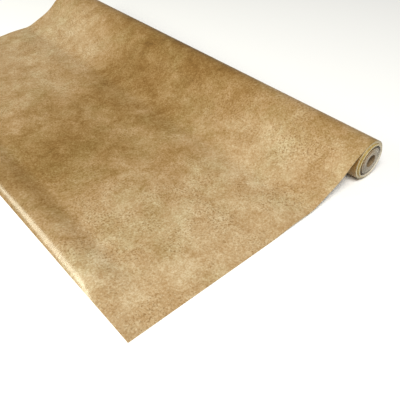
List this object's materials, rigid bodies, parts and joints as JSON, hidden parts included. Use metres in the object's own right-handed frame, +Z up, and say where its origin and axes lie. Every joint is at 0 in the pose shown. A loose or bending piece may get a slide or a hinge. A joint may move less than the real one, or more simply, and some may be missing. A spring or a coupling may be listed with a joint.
{
  "type": "roll of sign vinyl",
  "caption": "Roll of printed sign vinyl on a board core, lying on a bench with its web drawn off flat and a corner of the film that peels from the release liner.",
  "frame": {"origin": "middle of the whole object's box, on the bench that it lies on", "axes": "+X along the roll's core to the end that it stands out of, -Y the way the web is drawn off, +Z up"},
  "size_m": [0.6124, 0.3305, 0.045],
  "materials": {
    "vinyl_film": "satin printed film, antique gold mottle",
    "adhesive": "clear tacky acrylic",
    "release_liner": "smooth siliconised paper",
    "wound_web": "cut edges of film and liner, wound",
    "core_board": "plain grey-brown board",
    "start_tape": "double-sided tape"
  },
  "bodies": {
    "drawn_web": {"last_turn_liner": "release_liner", "last_turn_adhesive": "adhesive", "last_turn_film": "vinyl_film", "span_liner": "release_liner", "span_adhesive": "adhesive", "span_film": "vinyl_film", "laid_liner": "release_liner", "laid_adhesive": "adhesive", "laid_film": "vinyl_film"},
    "wound_turns": {"middle_wound_turns": "wound_web", "outer_wound_turns": "wound_web"},
    "core": {"core_bore_lining": "core_board", "core_tube": "core_board", "core_cover_ply": "core_board", "start_tape": "start_tape", "inner_wound_turns": "wound_web"},
    "leading_web": {"lead_liner": "release_liner", "lead_adhesive": "adhesive", "lead_film": "vinyl_film"},
    "film_corner": {"corner_adhesive": "adhesive", "corner_film": "vinyl_film"}
  },
  "joints": [
    {"name": "roll_turn", "type": "hinge", "parent": "drawn_web", "child": "wound_turns", "pos_m": [0, 0.14275, 0.0225], "axis": [1, 0, 0], "range_deg": [-256, 0]},
    {"name": "web_feed", "type": "slide", "parent": "drawn_web", "child": "leading_web", "axis": [0, 1, 0], "range_m": [0, 0.1], "deforming": ["laid_liner", "laid_adhesive", "laid_film"]},
    {"name": "core_telescope", "type": "slide", "parent": "wound_turns", "child": "core", "axis": [1, 0, 0], "range_m": [-0.0022, 0.012]},
    {"name": "corner_peel", "type": "hinge", "parent": "leading_web", "child": "film_corner", "pos_m": [0.2838, -0.14525, 0.0003], "axis": [-0.7071, -0.7071, 0], "range_deg": [0, 110]}
  ],
  "couplings": [
    {"joint": "web_feed", "follows": "roll_turn", "m_per_rad": -0.02235}
  ]
}
